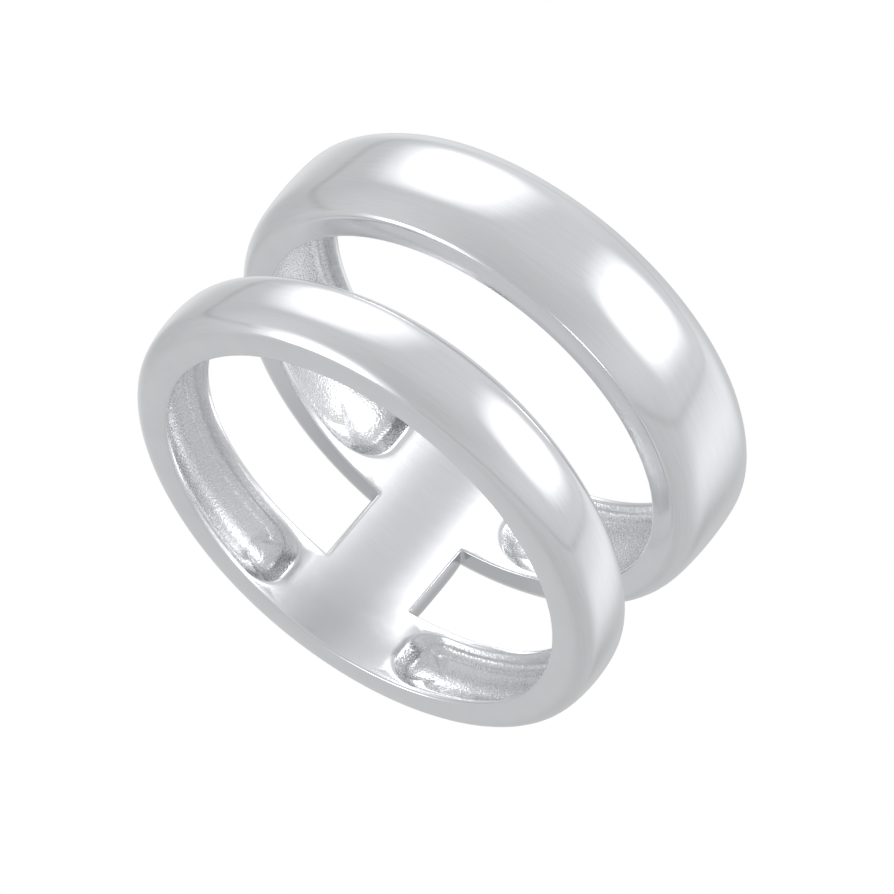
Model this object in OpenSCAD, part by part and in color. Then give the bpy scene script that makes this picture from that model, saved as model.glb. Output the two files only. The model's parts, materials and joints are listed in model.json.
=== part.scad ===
/* [Finger] */
// Radius of the hole that the finger goes through
bore_r = 8.6; // [8:0.1:10]

/* [Bands] */
// Width of the wide band, which the ring lies on
wide_w = 4.6; // [4:0.1:5.5]
// Width of the narrow band where it crosses the top of the hand
narrow_w = 3.2; // [3:0.1:3.6]
// Gap between the two bands where they cross the top of the hand
gap_w = 3.45; // [3:0.05:4]
// How much wider the gap is at the sides of the finger than at the top
gap_flare = 0.4; // [0.2:0.05:0.6]
// Height of the flat side faces, from the hole to the shoulder
side_h = 1.05; // [1:0.05:1.15]

/* [Domes] */
// Rise of the round of the bands above their shoulders, before the crown is flattened
dome_rise = 0.95; // [0.95:0.05:1.1]
// Thickness of the bands at the top of the hand
top_t = 1.95; // [1.8:0.05:1.95]
// Thickness of the bands on the palm side, where they are flatter
palm_t = 1.45; // [1.35:0.05:1.6]

/* [Bridge] */
// Half of the angle that the bridge takes up on the palm side
bridge_half = 12.8; // [10:0.2:15]
// Thickness of the bridge
bridge_t = 1; // [0.9:0.02:1.04]

/* [Channels] */
// Half of the angle that stays solid between the two ends of each channel
solid_half = 16.5; // [15.5:0.5:22]
// Width of the rim between a channel and the free face of its band
free_rim = 0.25; // [0.2:0.05:0.4]
// Width of the rim between the wide band's channel and the gap
wide_gap_rim = 0.3; // [0.25:0.05:0.5]
// Width of the rim between the narrow band's channel and the gap
narrow_gap_rim = 0.45; // [0.3:0.05:0.6]
// Metal left between the floor of a channel and the crown of its band
skin = 0.7; // [0.6:0.05:0.8]
// Rise of the arched floor of the channels
floor_rise = 0.25; // [0.15:0.05:0.35]

/* [Hidden] */
$fn = 128;
narrow_low = wide_w + gap_w;
ring_w = narrow_low + narrow_w;
// The crown's circle is set off towards the top of the hand, which makes the bands thinner at the palm.
crown_r = bore_r + (top_t + palm_t) / 2;
crown_offset = (top_t - palm_t) / 2;
// Radius of the long curve that the narrow band's face follows along the gap
flare_r = bore_r * bore_r / (2 * gap_flare);
// How much wider than its channel the round end of a channel is
end_spread = 1.3;
// Allowance by which cutters and joined pieces run past the faces that they meet
past = 0.5;
far = 3 * bore_r;
// How far the cutter of a channel starts inside its floor, which puts its start well within the finger hole
reach = 2;

// Radius of the circle through the two ends and the crest of an arc of this width and rise
function arc_r(width, rise) = (width * width / 4 + rise * rise) / (2 * rise);

// Flat section, crest on the line x = crest, with the outer side arched by rise between its two corners
module arched_section(low, width, inner, crest, rise) {
    round_r = arc_r(width, rise);
    intersection() {
        translate([inner, low - past]) square([crest - inner + past, width + past]);
        translate([crest - round_r, low + width / 2]) circle(r = round_r);
    }
}

// Band with its flat faces and its half-round outside, before the crown is flattened
module round_band(low, width) {
    rotate_extrude()
        arched_section(low, width, bore_r - past, bore_r + side_h + dome_rise, dome_rise);
}

// Disc, set off towards the top of the hand, that flattens the crown of a band more towards the palm
module crown(low, width) {
    translate([0, -crown_offset, low - past])
        cylinder(r = crown_r, h = width + 2 * past);
}

// Everything above the long curve that lies at this height where the bands cross the top of the hand
module above_flare(height) {
    translate([0, far, height + flare_r])
        rotate([90, 0, 0])
            cylinder(r = flare_r, h = 2 * far, $fn = 720);
}

// Wedge on the palm side, with its tip on the axis of the finger hole
module palm_wedge(half_angle, low, high) {
    translate([0, 0, low])
        linear_extrude(high - low)
            polygon([[0, 0], [far * tan(half_angle), far], [-far * tan(half_angle), far]]);
}

module wide_band() {
    intersection() {
        round_band(0, wide_w);
        crown(0, wide_w);
        cylinder(r = far, h = wide_w);
    }
}

module narrow_band() {
    intersection() {
        round_band(narrow_low, narrow_w);
        crown(narrow_low, narrow_w);
        above_flare(narrow_low);
    }
}

module bridge() {
    intersection() {
        palm_wedge(bridge_half, wide_w - past, narrow_low + past);
        cylinder(r = bore_r + bridge_t, h = ring_w);
    }
}

// Half of the angle from the middle of the bridge to where a channel of this width is at its full width
function end_angle(width) = solid_half + asin(end_spread * width / 2 / bore_r);

// Round hole, whose walls are the rims beside the channels and the solid stretch at the palm
module finger_hole() {
    translate([0, 0, -past])
        cylinder(r = bore_r, h = ring_w + 2 * past);
}

// Metal left at the palm between the two ends of a channel, with a round hollow at each end
module channel_stop(low, width) {
    difference() {
        palm_wedge(end_angle(width), low - past, low + width + past);
        for (side = [-1, 1])
            rotate([0, 0, side * end_angle(width)])
                translate([0, 0, low + width / 2])
                    rotate([-90, 0, 0])
                        cylinder(r = end_spread * width / 2, h = far);
    }
}

// Channel cut into a band from the finger side, with straight walls and an arched floor
module channel(low, width) {
    floor_r = crown_r - skin;
    difference() {
        translate([0, -crown_offset, 0])
            rotate_extrude()
                intersection() {
                    arched_section(low, width, floor_r - reach, floor_r, floor_rise);
                    translate([0, low]) square([far, width]);
                }
        channel_stop(low, width);
    }
}

module wide_channel() {
    channel(free_rim, wide_w - free_rim - wide_gap_rim);
}

module narrow_channel() {
    low = narrow_low + narrow_gap_rim;
    intersection() {
        channel(low, ring_w - free_rim - low);
        above_flare(low);
    }
}

module double_band_ring() {
    color("silver")
        difference() {
            union() {
                wide_band();
                narrow_band();
                bridge();
            }
            finger_hole();
            wide_channel();
            narrow_channel();
        }
}

double_band_ring();
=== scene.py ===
from collections import namedtuple
import json
import math

import bmesh
import bpy
from mathutils import Matrix, Vector, noise


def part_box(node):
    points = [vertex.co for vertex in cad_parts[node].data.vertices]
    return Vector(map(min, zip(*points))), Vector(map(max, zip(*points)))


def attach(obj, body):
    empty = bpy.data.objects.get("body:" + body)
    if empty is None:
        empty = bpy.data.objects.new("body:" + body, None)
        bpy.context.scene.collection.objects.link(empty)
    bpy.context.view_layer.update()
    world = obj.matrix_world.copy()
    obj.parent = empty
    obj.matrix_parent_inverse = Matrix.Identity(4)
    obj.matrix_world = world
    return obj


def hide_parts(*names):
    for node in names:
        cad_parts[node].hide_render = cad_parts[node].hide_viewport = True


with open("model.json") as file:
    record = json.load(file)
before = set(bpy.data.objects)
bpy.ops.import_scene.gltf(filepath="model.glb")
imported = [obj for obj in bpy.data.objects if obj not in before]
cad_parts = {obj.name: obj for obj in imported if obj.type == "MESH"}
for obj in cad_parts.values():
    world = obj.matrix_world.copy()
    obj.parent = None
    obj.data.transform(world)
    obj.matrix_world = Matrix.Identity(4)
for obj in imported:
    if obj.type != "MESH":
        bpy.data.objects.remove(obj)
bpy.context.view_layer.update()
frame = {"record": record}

# The ring is modelled in millimetres and scaled to metres at the end. Angles are in degrees from the top
# of the hand, so the middle of the palm is half a turn away.
MM = 0.001
PALM = 180.0

# Sizes that the frame gives
finger_hole = next(m for m in frame["record"]["mounts"] if m["name"] == "finger_hole")
ring_low, ring_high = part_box("double_band_ring")
BORE_R = finger_hole["dims"]["r_mm"]
RING_W = (ring_high.z - ring_low.z) / MM
TOP_T = -ring_low.y / MM - BORE_R
PALM_T = ring_high.y / MM - BORE_R

# A band is described from its free face, which is flat, towards the gap between the bands.
# flare: how much narrower it is at the sides of the finger, where the gap opens
# gap_rim: width of the rim between its channel and the gap, at the palm
# rim_growth: how much wider that rim is at the sides of the finger, or narrower where it is negative
Band = namedtuple("Band", "free_face direction width flare gap_rim rim_growth")
WIDE_BAND = Band(0.0, 1, 4.6, 0.0, 0.28, -0.08)
NARROW_BAND = Band(RING_W, -1, 3.2, 0.4, 0.3, -0.14)

# Outside of the bands: height of the flat side faces and of the round above them, how much lower the
# flattened crown is at the sides of a band than at its middle, and how soft the passage to it is
SIDE_H = 1.05
DOME_RISE = 1.05
CROWN_FALL = 0.2
CROWN_BLEND = 0.08
DOME_COLUMNS = 30

# Stations round the ring, in degrees, and half of the angle that the bridge takes up
STATION = 1.0
STATIONS = round(360 / STATION)
BRIDGE_HALF = 13 * STATION
# The bridge is a little thinner where it meets the walls of the bands, just under their shoulders.
BRIDGE_T = 1.0
BRIDGE_ROOT_T = 0.82
BRIDGE_ROWS = 24
# The higher this power is, the longer the bridge keeps its thickness before it thins at its roots.
BRIDGE_FULLNESS = 4
# An edge that crosses the gap is longer than this, and the back of the bridge is found to within this.
SPAN_MIN = 1.0
BACK_NEAR = 0.01

# Shallow hollow that polishing leaves on the finger side of the palm: its depth, and half of its angle
PALM_HOLLOW = 0.06
HOLLOW_HALF = 16

# Channels: where they end, the width of the rim at the free face, the metal left under the middle of the
# floor, and how much shallower the floor is at its sides
CHANNEL_END = PALM - 16 * STATION
CHANNEL_COLUMNS = 22
FREE_RIM = 0.18
CHANNEL_SKIN = 0.63
FLOOR_ARCH = 0.34
# How round the corners of an end are at the mouth, where 1 is one full round, and the length of the
# stretch in which they are rounded, in half widths of the channel
END_ROUNDING = 0.8
END_ZONE = 1.45
# How far the walls lean in between the mouth and the fillets, at the sides and at the ends
WALL_DRAFT = 0.1
END_DRAFT = 0.3
# Radius of the fillets beside the floor
FLOOR_R = 0.36
# Radius of the rise of the floor at the ends of a channel, as a share of the width of its band
END_FLOOR_SHARE = 0.22
# Rounded lip at the ends: its width and depth, and how far before the end it starts to deepen
END_LIP_W = 0.34
END_LIP_H = 0.14
LIP_REACH = 1.0
# Share of the cast finish that the walls have, and how far before the end it starts to grow to all of it
WALL_CAST = 0.8
CAST_REACH = 2.4

# Radii of the shoulders, of the edges of the finger hole and the bridge, and of the channels' mouths
SHOULDER_R = 0.2
BORE_EDGE_R = 0.08
MOUTH_R = 0.08
# Steps over a rounded edge, and over a fillet beside the floor
ROUND_STEPS = 3
FLOOR_STEPS = 7

# Unevenness of the floor of the channels, which is left as it was cast: size of the lumps and their height
LUMPS = ((0.75, 0.007), (0.32, 0.002))

# Angles between which the walls of the windows turn from plain polished to painted shade, a darker base
# colour
PAINTED_SHADE_FROM = 115
PAINTED_SHADE_TO = 150

# Tolerance for telling which part of the section a point is on
NEAR = 1e-3

# Angle between two faces, in radians, past which the edge between them counts as sharp
SHARP_ANGLE = 1.0

# Room above the gap for the edges of the narrow band, which stands back from it at the sides
GAP_ROOM = 0.5

# Distance within which doubled points are merged
MERGE = 1e-5


def side_share(angle):
    """0 at the top of the hand and at the palm, 1 at the sides of the finger."""
    return math.sin(math.radians(angle)) ** 2


def band_width(band, angle):
    return band.width - band.flare * side_share(angle)


def channel_far_edge(band, angle):
    """Distance from the free face to the edge of the channel that is nearer to the gap."""
    return band.width - band.gap_rim - (band.flare + band.rim_growth) * side_share(angle)


def crown_thickness(angle):
    """Thickness of both bands at the middle of their width."""
    return PALM_T + (TOP_T - PALM_T) * (1 + math.cos(math.radians(angle))) / 2


def soft_lower(a, b, blend):
    """The lower of two heights, with a smooth passage where they cross."""
    low = min(a, b)
    return low - blend * math.log(math.exp((low - a) / blend) + math.exp((low - b) / blend))


def polar(co):
    """Angle from the top of the hand in degrees, and radius, of a point."""
    return math.degrees(math.atan2(co.x, -co.y)), math.hypot(co.x, co.y)


def place(angle, radius, height):
    turn = math.radians(angle)
    return Vector((radius * math.sin(turn), -radius * math.cos(turn), height))


def dome_arc(width):
    """Points of the half-round outside, from the shoulder at the gap to the one at the free face."""
    half = width / 2
    arc_r = (half ** 2 + DOME_RISE ** 2) / (2 * DOME_RISE)
    half_angle = math.asin(half / arc_r)
    points = []
    for k in range(DOME_COLUMNS + 1):
        lean = half_angle * (1 - 2 * k / DOME_COLUMNS)
        rise = arc_r * math.cos(lean) - (arc_r - DOME_RISE)
        points.append((BORE_R + SIDE_H + rise, half + arc_r * math.sin(lean)))
    return points


def spin_band(mesh, band):
    """Draws the band's section in the plane through the palm, rounds its corners and spins it."""
    far_edge = channel_far_edge(band, PALM)
    step = (far_edge - FREE_RIM) / CHANNEL_COLUMNS
    outline = [(BORE_R, 0.0)]
    outline += [(BORE_R, FREE_RIM + step * k) for k in range(CHANNEL_COLUMNS + 1)]
    outline += [(BORE_R, band.width), (BORE_R + BRIDGE_ROOT_T, band.width)]
    gap_shoulder = len(outline)
    outline += dome_arc(band.width)
    free_shoulder = len(outline) - 1
    corners = [mesh.verts.new(place(PALM, radius, across)) for radius, across in outline]
    for k in range(len(corners)):
        mesh.edges.new((corners[k - 1], corners[k]))
    round_corners(mesh, [corners[0]], BORE_EDGE_R)
    round_corners(mesh, [corners[gap_shoulder], corners[free_shoulder]], SHOULDER_R)
    section = list(mesh.verts) + list(mesh.edges)
    bmesh.ops.spin(mesh, geom=section, cent=(0, 0, 0), axis=(0, 0, 1), dvec=(0, 0, 0),
                   angle=2 * math.pi, steps=STATIONS, use_merge=True, use_duplicate=False)
    bmesh.ops.remove_doubles(mesh, verts=mesh.verts, dist=MERGE)
    bmesh.ops.recalc_face_normals(mesh, faces=mesh.faces)


def round_corners(mesh, corners, radius):
    bmesh.ops.bevel(mesh, geom=corners, offset=radius, offset_type="OFFSET", segments=ROUND_STEPS,
                    profile=0.5, affect="VERTICES", clamp_overlap=False, material=-1)


def round_edges(mesh, edges, radius):
    bmesh.ops.bevel(mesh, geom=edges, offset=radius, offset_type="OFFSET", segments=ROUND_STEPS,
                    profile=0.5, affect="EDGES", clamp_overlap=False, material=-1)


def shape_band(mesh, band):
    """Lowers the crown towards the palm, and narrows the band and its channel towards the sides."""
    for vert in mesh.verts:
        angle, radius = polar(vert.co)
        across = vert.co.z
        if radius > BORE_R + SIDE_H - SHOULDER_R:
            lean = 2 * across / band.width - 1
            crown = crown_thickness(angle) - CROWN_FALL * lean ** 2
            radius = BORE_R + soft_lower(radius - BORE_R, crown, CROWN_BLEND)
        width = band_width(band, angle)
        straight_edge = channel_far_edge(band, PALM)
        far_edge = channel_far_edge(band, angle)
        if radius > BORE_R + BRIDGE_ROOT_T / 2:
            across *= width / band.width
        elif across > straight_edge - NEAR:
            share = (across - straight_edge) / (band.width - straight_edge)
            across = far_edge + share * (width - far_edge)
        elif across > FREE_RIM:
            across = FREE_RIM + (across - FREE_RIM) / (straight_edge - FREE_RIM) * (far_edge - FREE_RIM)
        vert.co = place(angle, radius, across)


def mark_channel(mesh, band, along_layer, across_layer):
    """Finds the faces of the bore between the ends of the channel, and notes each corner's place there."""
    far_edge = channel_far_edge(band, PALM)
    found = []
    for face in mesh.faces:
        spots = [polar(vert.co) for vert in face.verts]
        across = [vert.co.z for vert in face.verts]
        on_bore = max(radius for angle, radius in spots) < BORE_R + NEAR
        in_width = min(across) > FREE_RIM - NEAR and max(across) < far_edge + NEAR
        in_length = max(abs(angle) for angle, radius in spots) < CHANNEL_END + STATION / 2
        if on_bore and in_width and in_length:
            found.append(face)
    for vert in {vert for face in found for vert in face.verts}:
        vert[along_layer] = polar(vert.co)[0]
        vert[across_layer] = 2 * (vert.co.z - FREE_RIM) / (far_edge - FREE_RIM) - 1
    return found


def round_end(into, across, rounding):
    """Moves a point of a square end, 1 long and 1 to either side, into an end with round corners."""
    reach = max(into, abs(across))
    if into <= 0 or reach < NEAR:
        return into, across
    straight = 1 - rounding
    from_corner = [into / reach, across / reach]
    corner = [max(-straight, min(part, straight)) for part in from_corner]
    out = [part - middle for part, middle in zip(from_corner, corner)]
    share = rounding / math.hypot(*out)
    return [(middle + part * share) * reach for middle, part in zip(corner, out)]


def channel_spot(band, along, across, depth, layer):
    """A point of the channel, with the ends rounded and all sides moved in by the insets of its layer."""
    far_edge = channel_far_edge(band, along)
    half = (far_edge - FREE_RIM) / 2
    zone = math.degrees(END_ZONE * half / BORE_R)
    into_end = max((abs(along) - CHANNEL_END + zone) / zone, 0)
    rounded, sideways = round_end(into_end, across, layer.rounding)
    angle = along
    if into_end > 0:
        reach = zone - math.degrees(layer.end_inset / BORE_R)
        angle = math.copysign(CHANNEL_END - zone + reach * rounded, along)
    return place(angle, BORE_R + depth, FREE_RIM + half + (half - layer.side_inset) * sideways)


def near_end(along, length):
    """0 at this length (in millimetres) before the end of a channel, growing to 1 at the end."""
    return max(0, min((abs(along) - CHANNEL_END) / math.degrees(length / BORE_R) + 1, 1))


# A step on the way from the mouth of a channel to its floor: its insets at the ends and at the sides, how
# round its ends are, its shares of the depth of the lip and of the floor, and its height over the floor
Layer = namedtuple("Layer", "end_inset side_inset rounding lip_share floor_share height")


def channel_layers(band):
    """Steps over the rounded mouth of a channel and down its walls, then round its fillets to the floor."""
    layers = [Layer(0.0, 0.0, END_ROUNDING, 0.0, 0.0, 0.0)]
    for k in range(1, ROUND_STEPS + 1):
        turn = math.radians(90 * k / ROUND_STEPS)
        lip = 1 - math.cos(turn)
        end_inset = END_LIP_W * math.sin(turn)
        layers.append(Layer(end_inset, MOUTH_R * math.sin(turn), END_ROUNDING, lip, 0.0, 0.0))
    end_floor_r = END_FLOOR_SHARE * band.width
    for k in range(FLOOR_STEPS + 1):
        turn = math.radians(90 * k / FLOOR_STEPS)
        into = 1 - math.cos(turn)
        past_lip = END_DRAFT + end_floor_r * into
        side_inset = MOUTH_R + WALL_DRAFT + FLOOR_R * into
        rounding = END_ROUNDING + (1 - END_ROUNDING) * past_lip / (END_DRAFT + end_floor_r)
        height = FLOOR_R * (1 - math.sin(turn))
        layers.append(Layer(END_LIP_W + past_lip, side_inset, rounding, 0.0, 1.0, height))
    return layers


def sink_channel(mesh, band, faces, along_layer, across_layer, cast_layer):
    """Pushes the channel's faces into the band, layer by layer."""
    for layer in channel_layers(band):
        if layer.lip_share or layer.floor_share:
            made = bmesh.ops.extrude_face_region(mesh, geom=faces)["geom"]
            bmesh.ops.delete(mesh, geom=faces, context="FACES")
            faces = [item for item in made if isinstance(item, bmesh.types.BMFace)]
        for vert in {vert for face in faces for vert in face.verts}:
            along = vert[along_layer]
            across = vert[across_layer]
            lip = MOUTH_R + (END_LIP_H - MOUTH_R) * near_end(along, LIP_REACH)
            floor = crown_thickness(along) - CHANNEL_SKIN - FLOOR_ARCH * across ** 2
            depth = layer.lip_share * lip + layer.floor_share * (floor - layer.height)
            vert.co = channel_spot(band, along, across, depth, layer)
            below_lip = layer.lip_share > 1 - NEAR or layer.floor_share > 0
            on_wall = WALL_CAST + (1 - WALL_CAST) * near_end(along, CAST_REACH) if below_lip else 0
            on_floor = layer.floor_share * (1 - (layer.height / FLOOR_R) ** 2)
            vert[cast_layer] = max(on_floor, on_wall)
    return faces


def roughen_floor(faces):
    """Gives the floor of a channel the uneven surface of a casting."""
    for vert in {vert for face in faces for vert in face.verts}:
        angle, radius = polar(vert.co)
        for size, height in LUMPS:
            radius += height * noise.noise(vert.co / size)
        vert.co = place(angle, radius, vert.co.z)


def join_bridge(mesh):
    """Opens both bands where the bridge meets them, and spans the two openings."""
    openings = []
    for face in mesh.faces:
        spots = [polar(vert.co) for vert in face.verts]
        heights = [vert.co.z for vert in face.verts]
        thin = max(radius for angle, radius in spots) < BORE_R + BRIDGE_ROOT_T + NEAR
        on_wall = max(radius for angle, radius in spots) > BORE_R + BRIDGE_ROOT_T - NEAR
        in_gap = min(heights) > WIDE_BAND.width - NEAR and max(heights) < RING_W - FREE_RIM
        at_palm = min(abs(angle) for angle, radius in spots) > PALM - BRIDGE_HALF - STATION / 2
        if thin and on_wall and in_gap and at_palm:
            openings.append(face)
    bmesh.ops.delete(mesh, geom=openings, context="FACES")
    rims = [edge for edge in mesh.edges if len(edge.link_faces) == 1]
    spanned = bmesh.ops.bridge_loops(mesh, edges=rims)
    spans = [edge for edge in spanned["edges"] if abs(edge.verts[0].co.z - edge.verts[1].co.z) > SPAN_MIN]
    cut = bmesh.ops.subdivide_edges(mesh, edges=spans, cuts=BRIDGE_ROWS, use_grid_fill=True)
    for vert in {item for item in cut["geom_inner"] if isinstance(item, bmesh.types.BMVert)}:
        angle, radius = polar(vert.co)
        if radius > BORE_R + BRIDGE_ROOT_T - BACK_NEAR:
            lean = 2 * (vert.co.z - WIDE_BAND.width) / (RING_W - NARROW_BAND.width - WIDE_BAND.width) - 1
            fullness = 1 - min(abs(lean), 1) ** BRIDGE_FULLNESS
            vert.co = place(angle, BORE_R + BRIDGE_ROOT_T + (BRIDGE_T - BRIDGE_ROOT_T) * fullness,
                            vert.co.z)
    bmesh.ops.recalc_face_normals(mesh, faces=mesh.faces)


def mark_painted_shade_and_finger_side(mesh):
    """Notes the painted shade, a darker base colour, on the walls of the windows near the palm, and the
    finger side, which the buff hardly reaches.
    """
    window_shade_layer = mesh.verts.layers.float.new("dull")
    finger_layer = mesh.verts.layers.float.new("finger_side")
    for vert in mesh.verts:
        angle, radius = polar(vert.co)
        in_gap = WIDE_BAND.width - NEAR < vert.co.z < RING_W - NARROW_BAND.width + NARROW_BAND.flare + NEAR
        on_wall = BORE_R + BORE_EDGE_R / 2 < radius < BORE_R + SIDE_H
        if in_gap and on_wall:
            # Painted shade: a share that darkens the base colour of the window walls towards the palm
            vert[window_shade_layer] = max(0, min((abs(angle) - PAINTED_SHADE_FROM) / (PAINTED_SHADE_TO - PAINTED_SHADE_FROM), 1))
        if radius < BORE_R + NEAR:
            vert[finger_layer] = 1


def hollow_palm(mesh):
    """Deepens the finger side a little between the ends of the channels, most at the middle of the palm."""
    reach = BRIDGE_ROOT_T / 2
    for vert in mesh.verts:
        angle, radius = polar(vert.co)
        from_middle = (PALM - abs(angle)) / HOLLOW_HALF
        if from_middle < 1 and radius < BORE_R + reach:
            depth = PALM_HOLLOW * math.cos(math.pi / 2 * from_middle) ** 2
            share = min(1, 1 - (radius - BORE_R) / reach)
            vert.co = place(angle, radius + depth * share, vert.co.z)


def gap_edges(mesh):
    """Edges round the two windows on the finger's side, and the outer edges of the bridge.

    From 4 degrees off the middle of the palm it also finds the edges of the inner corner between the
    bridge and the narrow band. They were better left alone, as rounding them folds the surface there.
    """
    found = []
    for edge in mesh.edges:
        spots = [polar(vert.co) for vert in edge.verts]
        heights = [vert.co.z for vert in edge.verts]
        gap_top = RING_W - NARROW_BAND.width + GAP_ROOM
        in_gap = min(heights) > WIDE_BAND.width - NEAR and max(heights) < gap_top
        on_bore = max(radius for angle, radius in spots) < BORE_R + NEAR
        on_bridge_back = min(radius for angle, radius in spots) > BORE_R + BRIDGE_ROOT_T - NEAR
        along = abs(heights[0] - heights[1]) > NEAR
        wanted = on_bore or (on_bridge_back and along)
        if wanted and in_gap and edge.is_manifold and edge.calc_face_angle() > SHARP_ANGLE:
            found.append(edge)
    return found


def build_ring():
    mesh = bmesh.new()
    for band in (WIDE_BAND, NARROW_BAND):
        part = bmesh.new()
        along_layer = part.verts.layers.float.new("along")
        across_layer = part.verts.layers.float.new("across")
        cast_layer = part.verts.layers.float.new("as_cast")
        spin_band(part, band)
        faces = mark_channel(part, band, along_layer, across_layer)
        shape_band(part, band)
        faces = sink_channel(part, band, faces, along_layer, across_layer, cast_layer)
        roughen_floor(faces)
        part.verts.layers.float.remove(part.verts.layers.float["along"])
        part.verts.layers.float.remove(part.verts.layers.float["across"])
        for vert in part.verts:
            vert.co.z = band.free_face + band.direction * vert.co.z
        bmesh.ops.recalc_face_normals(part, faces=part.faces)
        data = bpy.data.meshes.new("band")
        part.to_mesh(data)
        part.free()
        mesh.from_mesh(data)
        bpy.data.meshes.remove(data)
    join_bridge(mesh)
    round_edges(mesh, gap_edges(mesh), BORE_EDGE_R)
    mark_painted_shade_and_finger_side(mesh)
    hollow_palm(mesh)
    bmesh.ops.scale(mesh, verts=mesh.verts, vec=(MM, MM, MM))
    for face in mesh.faces:
        face.smooth = True
    data = bpy.data.meshes.new("double_band_silver")
    mesh.to_mesh(data)
    mesh.free()
    piece = bpy.data.objects.new("double_band_silver", data)
    bpy.context.scene.collection.objects.link(piece)
    even = piece.modifiers.new("even_shading", "WEIGHTED_NORMAL")
    even.weight = 50
    even.keep_sharp = False
    return piece


# Finish. Noise has its waves in a metre, gloss is a roughness, smoother to rougher, heights are in metres.
POLISHED_TONE = (0.845, 0.852, 0.868, 1)
POLISHED_TONE_LIGHT = (0.895, 0.901, 0.915, 1)
CAST_TONE = (0.72, 0.727, 0.742, 1)
CAST_TONE_LIGHT = (0.94, 0.945, 0.955, 1)
# Painted shade: darker base colour for the walls of the windows near the palm
WINDOW_PAINTED_SHADE_TONE = (0.66, 0.667, 0.685, 1)
BUFFING_STRETCH = (700, 700, 16000)
CLOUD_WAVES = 420.0
SPECKLE_WAVES = 11000.0
SATIN_WAVES = 9000.0
HAND_WAVES = 700.0
PIT_WAVES = 5000.0
GRAIN_WAVES = 13000.0
STREAK_SHARES = (0.2, 0.8)
BUFFED_GLOSS = (0.0, 0.03)
OUTER_GLOSS = (0.09, 0.14)
FINGER_SIDE_GLOSS = (0.17, 0.22)
CAST_GLOSS = (0.2, 0.32)
LINE_HEIGHT = 0.0000003
HAND_WAVE_HEIGHT = 0.000008
PIT_HEIGHT = 0.000004
GRAIN_HEIGHT = 0.00002

# Middle range of a noise, which holds most of it
NOISE_LOW = 0.3
NOISE_HIGH = 0.7


def noise_of(nodes, links, scale, detail, stretch=(1, 1, 1)):
    """Noise on the ring's own coordinates, with this many waves in a metre."""
    place_node = nodes.new("ShaderNodeMapping")
    place_node.inputs["Scale"].default_value = stretch
    links.new(nodes["where"].outputs["Object"], place_node.inputs["Vector"])
    pattern = nodes.new("ShaderNodeTexNoise")
    pattern.inputs["Scale"].default_value = scale
    pattern.inputs["Detail"].default_value = detail
    links.new(place_node.outputs["Vector"], pattern.inputs["Vector"])
    return pattern.outputs["Fac"]


def spread(nodes, links, value, low, high):
    """Maps a noise from its middle range to the range between low and high."""
    ranged = nodes.new("ShaderNodeMapRange")
    ranged.inputs["From Min"].default_value = NOISE_LOW
    ranged.inputs["From Max"].default_value = NOISE_HIGH
    ranged.inputs["To Min"].default_value = low
    ranged.inputs["To Max"].default_value = high
    links.new(value, ranged.inputs["Value"])
    return ranged.outputs["Result"]


def blend_by(nodes, links, share, first, second, kind="FLOAT"):
    """The first value, passing into the second one as the share grows from 0 to 1."""
    mix = nodes.new("ShaderNodeMix")
    mix.data_type = kind
    links.new(share, mix.inputs["Factor"])
    ends = [socket for socket in mix.inputs if socket.name in ("A", "B") and socket.enabled]
    for socket, value in zip(ends, (first, second)):
        if isinstance(value, bpy.types.NodeSocket):
            links.new(value, socket)
        else:
            socket.default_value = value
    return next(socket for socket in mix.outputs if socket.enabled)


def raise_by(nodes, links, height, distance, strength, below=None):
    """Relief from a height between 0 and 1, this many metres high."""
    bump = nodes.new("ShaderNodeBump")
    bump.inputs["Distance"].default_value = distance
    links.new(height, bump.inputs["Height"])
    if isinstance(strength, bpy.types.NodeSocket):
        links.new(strength, bump.inputs["Strength"])
    else:
        bump.inputs["Strength"].default_value = strength
    if below:
        links.new(below, bump.inputs["Normal"])
    return bump.outputs["Normal"]


def add_values(nodes, links, first, second):
    total = nodes.new("ShaderNodeMath")
    total.operation = "ADD"
    for socket, value in zip(total.inputs, (first, second)):
        if isinstance(value, bpy.types.NodeSocket):
            links.new(value, socket)
        else:
            socket.default_value = value
    return total.outputs["Value"]


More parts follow.
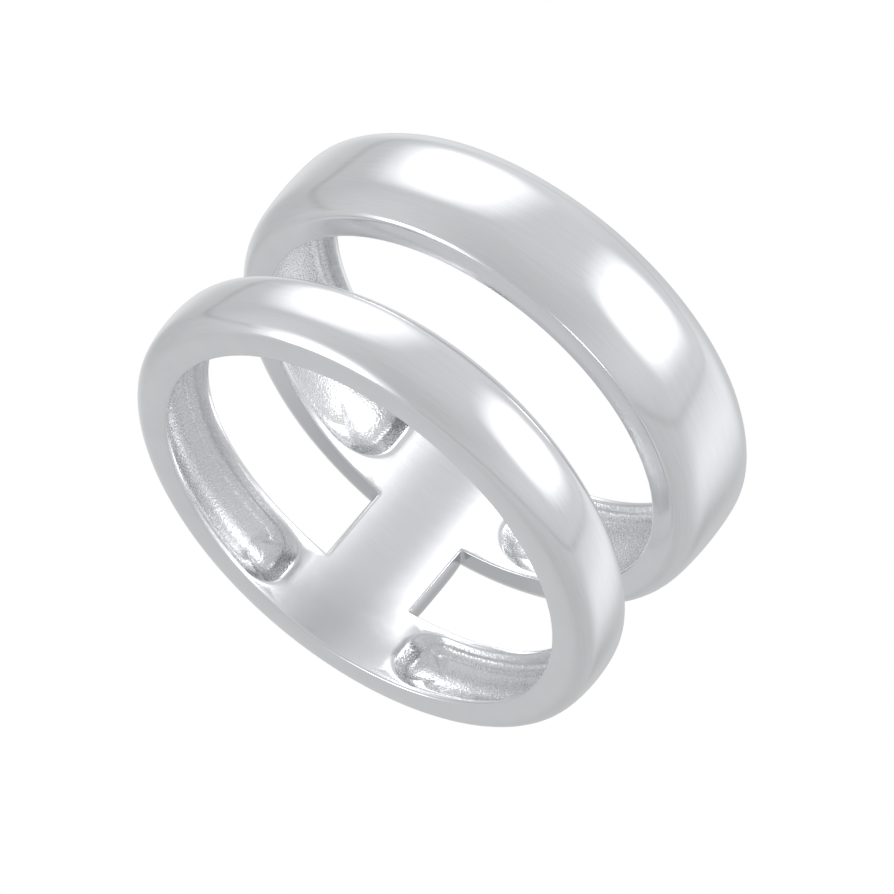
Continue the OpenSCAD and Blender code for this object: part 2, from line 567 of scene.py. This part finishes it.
def silver():
    """Sterling silver, polished outside, less so on the finger side, and left as cast in the channels."""
    material = bpy.data.materials.new("silver")
    material.use_nodes = True
    nodes = material.node_tree.nodes
    links = material.node_tree.links
    shader = nodes["Principled BSDF"]
    shader.inputs["Metallic"].default_value = 1.0
    where = nodes.new("ShaderNodeTexCoord")
    where.name = "where"
    cast = nodes.new("ShaderNodeAttribute")
    cast.attribute_name = "as_cast"
    share = cast.outputs["Fac"]
    window = nodes.new("ShaderNodeAttribute")
    window.attribute_name = "dull"
    dull = window.outputs["Fac"]
    inside = nodes.new("ShaderNodeAttribute")
    inside.attribute_name = "finger_side"

    # Tone: faint buffing lines on polished metal, painted shade as a darker base colour on the walls of the
    # windows near the palm, speckled as cast
    clouds = noise_of(nodes, links, CLOUD_WAVES, 3.0)
    buffing = noise_of(nodes, links, 1.0, 2.0, BUFFING_STRETCH)
    streaks = spread(nodes, links, buffing, *STREAK_SHARES)
    polished_tone = blend_by(nodes, links, streaks, POLISHED_TONE, POLISHED_TONE_LIGHT, "RGBA")
    # Painted shade: the window walls near the palm blend to a darker base colour
    polished_tone_with_painted_shade = blend_by(nodes, links, dull, polished_tone, WINDOW_PAINTED_SHADE_TONE, "RGBA")
    speckle = noise_of(nodes, links, SPECKLE_WAVES, 2.0)
    cast_tone = blend_by(nodes, links, speckle, CAST_TONE, CAST_TONE_LIGHT, "RGBA")
    links.new(blend_by(nodes, links, share, polished_tone_with_painted_shade, cast_tone, "RGBA"), shader.inputs["Base Color"])

    # Gloss: faint clouds and fine lines left by the buff, and a satin grain as cast
    buffed = spread(nodes, links, buffing, *BUFFED_GLOSS)
    outer_gloss = add_values(nodes, links, spread(nodes, links, clouds, *OUTER_GLOSS), buffed)
    inner_gloss = add_values(nodes, links, spread(nodes, links, clouds, *FINGER_SIDE_GLOSS), buffed)
    polished_gloss = blend_by(nodes, links, inside.outputs["Fac"], outer_gloss, inner_gloss)
    satin = noise_of(nodes, links, SATIN_WAVES, 3.0)
    cast_gloss = spread(nodes, links, satin, *CAST_GLOSS)
    links.new(blend_by(nodes, links, share, polished_gloss, cast_gloss), shader.inputs["Roughness"])

    # Relief: buffing lines that run round the ring, a slight waviness, and the grain of the mould
    waves = noise_of(nodes, links, HAND_WAVES, 1.0)
    grain = noise_of(nodes, links, GRAIN_WAVES, 1.0)
    pits = noise_of(nodes, links, PIT_WAVES, 2.0)
    lines = raise_by(nodes, links, buffing, LINE_HEIGHT, 1.0)
    wavy = raise_by(nodes, links, waves, HAND_WAVE_HEIGHT, 1.0, lines)
    pitted = raise_by(nodes, links, pits, PIT_HEIGHT, share, wavy)
    links.new(raise_by(nodes, links, grain, GRAIN_HEIGHT, share, pitted), shader.inputs["Normal"])
    return material


# Half of the side of the floor, in metres
FLOOR_HALF = 3.0


def studio_floor():
    """Plain white floor, which gives its own even light and isn't mirrored in the ring."""
    mesh = bmesh.new()
    bmesh.ops.create_grid(mesh, x_segments=1, y_segments=1, size=FLOOR_HALF)
    data = bpy.data.meshes.new("floor")
    mesh.to_mesh(data)
    mesh.free()
    floor = bpy.data.objects.new("floor", data)
    bpy.context.scene.collection.objects.link(floor)
    material = bpy.data.materials.new("pale_floor")
    material.use_nodes = True
    shader = material.node_tree.nodes["Principled BSDF"]
    shader.inputs["Base Color"].default_value = (0, 0, 0, 1)
    shader.inputs["Specular IOR Level"].default_value = 0
    shader.inputs["Emission Color"].default_value = (1, 1, 1, 1)
    shader.inputs["Emission Strength"].default_value = 1.0
    data.materials.append(material)
    floor.visible_glossy = False
    floor.visible_diffuse = False
    floor.visible_shadow = False
    return floor


# Camera: looks down at the ring from the side, and is turned about its own line of sight. Its distance is
# in millimetres.
VIEW_TILT = 60.5
VIEW_TURN = -10.71
VIEW_ROLL = -139.81
VIEW_DISTANCE = 326.6
# Picture: its width in pixels, its scale at the focus, and the pixel at which the focus lies
PIXELS = 894
PIXELS_PER_MM = 26.99
CENTRE_X = 437.15
CENTRE_Y = 437.41
FOCUS = Vector((0, 0, 6))


def view_axes():
    tilt = math.radians(VIEW_TILT)
    turn = math.radians(VIEW_TURN)
    roll = math.radians(VIEW_ROLL)
    back = Vector((math.sin(tilt) * math.sin(turn), -math.sin(tilt) * math.cos(turn), math.cos(tilt)))
    up = (Vector((0, 0, 1)) - back * back.z).normalized()
    right = up.cross(back)
    return (math.cos(roll) * right + math.sin(roll) * up,
            -math.sin(roll) * right + math.cos(roll) * up,
            back)


def place_camera():
    right, up, back = view_axes()
    aside = PIXELS / 2 - CENTRE_X
    above = PIXELS / 2 - CENTRE_Y
    aim = FOCUS + right * aside / PIXELS_PER_MM - up * above / PIXELS_PER_MM
    data = bpy.data.cameras.new("camera")
    data.sensor_width = 36
    data.lens = PIXELS_PER_MM * VIEW_DISTANCE / PIXELS * data.sensor_width
    data.clip_start = 0.01
    data.clip_end = 20
    camera = bpy.data.objects.new("camera", data)
    turned = Matrix((right, up, back)).transposed()
    camera.matrix_world = Matrix.Translation((aim + back * VIEW_DISTANCE) * MM) @ turned.to_4x4()
    bpy.context.scene.collection.objects.link(camera)
    bpy.context.scene.camera = camera


# Soft lights. Each is seen from the ring in a direction given from the viewer: degrees sideways, towards
# the right of the view, and degrees upwards. Then come the turn of its oval about that line, half of the
# oval's width and height as shares of its distance, and the brightness of its halo or glow.
Light = namedtuple("Light", "sideways upwards turn half_width half_height brightness")
LAMPS = {
    "overhead_light": Light(-104, 82, -15, 0.3, 0.33, 0.56),
    "right_light": Light(65, 19, -55, 0.26, 0.32, 0.56),
    "left_light": Light(-72, -21, 35, 0.19, 0.2, 0.5),
}
# Faint glows of the surround. The dark card takes light away, so its brightness is below zero.
GLOWS = {
    "right_rear_glow": Light(115, -15, -15, 0.35, 0.6, 0.3),
    "left_rear_glow": Light(-170, 15, -60, 1.0, 0.3, 0.2),
    "left_glow": Light(-80, -5, 65, 0.9, 0.5, 0.16),
    "low_glow": Light(15, -35, -140, 1.2, 0.3, 0.1),
    "dark_card": Light(145, -25, 0, 0.2, 0.25, -0.1),
}
# A light this nearly overhead takes its turn from the line of sight, as its own upward side is lost.
NEARLY_UP = 0.9
# Lamps: their distance from the ring in metres, their size as a share of their oval, and their brightness
LAMP_DISTANCE = 0.5
LAMP_CORE = 0.98
CORE_BRIGHTNESS = 2.2
# Where a halo is still full and where it is gone, and where a glow is gone, as shares of the oval
HALO_INNER = 0.9
HALO_OUTER = 1.85
GLOW_OUTER = 1.6

# Grey surround, a little lighter to the right and at the top of the view, with a thin dark line round it
SURROUND_TINT = (0.996, 1.0, 1.012, 1)
SURROUND = 0.6
SURROUND_RIGHT = 0.074
SURROUND_UP = 0.049
# The line: the direction of the axis that it runs round, given as for a light, how far along that axis it
# lies, half of its width, and how much it darkens
SEAM_SIDEWAYS = 0.7
SEAM_UPWARDS = 39.5
SEAM_OFFSET = -0.084
SEAM_HALF_WIDTH = 0.06
SEAM_DEPTH = 0.12


def direction_seen(sideways, upwards):
    right, up, back = view_axes()
    side_angle = math.radians(sideways)
    up_angle = math.radians(upwards)
    return (right * math.cos(up_angle) * math.sin(side_angle) + up * math.sin(up_angle)
            + back * math.cos(up_angle) * math.cos(side_angle))


def light_frame(light):
    """Turn of a light, whose third axis is the line from the ring to the light."""
    right, up, back = view_axes()
    line = direction_seen(light.sideways, light.upwards)
    guide = back if abs(line.dot(up)) > NEARLY_UP else up
    side = guide.cross(line).normalized()
    above = line.cross(side)
    twist = math.radians(light.turn)
    first = side * math.cos(twist) + above * math.sin(twist)
    second = above * math.cos(twist) - side * math.sin(twist)
    return Matrix((first, second, line)).transposed()


def add_lamp(name, light):
    """Oval lamp that faces the ring, the bright middle of a light."""
    data = bpy.data.lights.new(name, "AREA")
    data.shape = "ELLIPSE"
    data.size = 2 * light.half_width * LAMP_CORE * LAMP_DISTANCE
    data.size_y = 2 * light.half_height * LAMP_CORE * LAMP_DISTANCE
    data.energy = CORE_BRIGHTNESS * math.pi * (math.pi / 4 * data.size * data.size_y)
    lamp = bpy.data.objects.new(name, data)
    frame_of_light = light_frame(light)
    line = frame_of_light.col[2]
    lamp.matrix_world = Matrix.Translation(FOCUS * MM + line * LAMP_DISTANCE) @ frame_of_light.to_4x4()
    bpy.context.scene.collection.objects.link(lamp)
    return lamp


def halo(nodes, links, direction, light, inner, outer):
    """Soft brightness of the surround about a light, full in the inner oval and gone at the outer one."""
    frame_of_light = light_frame(light)
    place_halo = nodes.new("ShaderNodeMapping")
    place_halo.vector_type = "TEXTURE"
    place_halo.inputs["Location"].default_value = frame_of_light.col[2]
    place_halo.inputs["Rotation"].default_value = frame_of_light.to_euler()
    place_halo.inputs["Scale"].default_value = (light.half_width * outer, light.half_height * outer, outer)
    fall = nodes.new("ShaderNodeTexGradient")
    fall.gradient_type = "SPHERICAL"
    soft = nodes.new("ShaderNodeMapRange")
    soft.interpolation_type = "SMOOTHSTEP"
    soft.inputs["From Max"].default_value = 1 - inner / outer
    soft.inputs["To Max"].default_value = light.brightness
    links.new(direction, place_halo.inputs["Vector"])
    links.new(place_halo.outputs["Vector"], fall.inputs["Vector"])
    links.new(fall.outputs["Fac"], soft.inputs["Value"])
    return soft.outputs["Result"]


def slope_of(nodes, links, direction, axis):
    slope = nodes.new("ShaderNodeVectorMath")
    slope.operation = "DOT_PRODUCT"
    slope.inputs[1].default_value = axis
    links.new(direction, slope.inputs[0])
    return slope.outputs["Value"]


def seam(nodes, links, direction):
    """Thin dark line round the surround."""
    axis = direction_seen(SEAM_SIDEWAYS, SEAM_UPWARDS)
    away = nodes.new("ShaderNodeMath")
    away.operation = "ABSOLUTE"
    slope = slope_of(nodes, links, direction, axis)
    links.new(add_values(nodes, links, slope, -SEAM_OFFSET), away.inputs[0])
    dip = nodes.new("ShaderNodeMapRange")
    dip.interpolation_type = "SMOOTHSTEP"
    dip.inputs["From Max"].default_value = SEAM_HALF_WIDTH
    dip.inputs["To Min"].default_value = -SEAM_DEPTH
    dip.inputs["To Max"].default_value = 0
    links.new(away.outputs["Value"], dip.inputs["Value"])
    return dip.outputs["Result"]


def studio_surround():
    right, up, back = view_axes()
    world = bpy.data.worlds.new("studio")
    world.use_nodes = True
    nodes = world.node_tree.nodes
    links = world.node_tree.links
    background = nodes["Background"]
    background.inputs["Color"].default_value = SURROUND_TINT
    direction = nodes.new("ShaderNodeTexCoord").outputs["Generated"]
    lean = slope_of(nodes, links, direction, right * SURROUND_RIGHT + up * SURROUND_UP)
    level = add_values(nodes, links, lean, SURROUND)
    level = add_values(nodes, links, level, seam(nodes, links, direction))
    for light in LAMPS.values():
        level = add_values(nodes, links, level,
                           halo(nodes, links, direction, light, HALO_INNER, HALO_OUTER))
    for glow in GLOWS.values():
        level = add_values(nodes, links, level, halo(nodes, links, direction, glow, 0, GLOW_OUTER))
    links.new(level, background.inputs["Strength"])
    bpy.context.scene.world = world


ring = build_ring()
ring.data.materials.append(silver())
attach(ring, "root")
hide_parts("double_band_ring")
studio_floor()
place_camera()
for name, light in LAMPS.items():
    add_lamp(name, light)
studio_surround()
bpy.context.scene.view_settings.view_transform = "Standard"
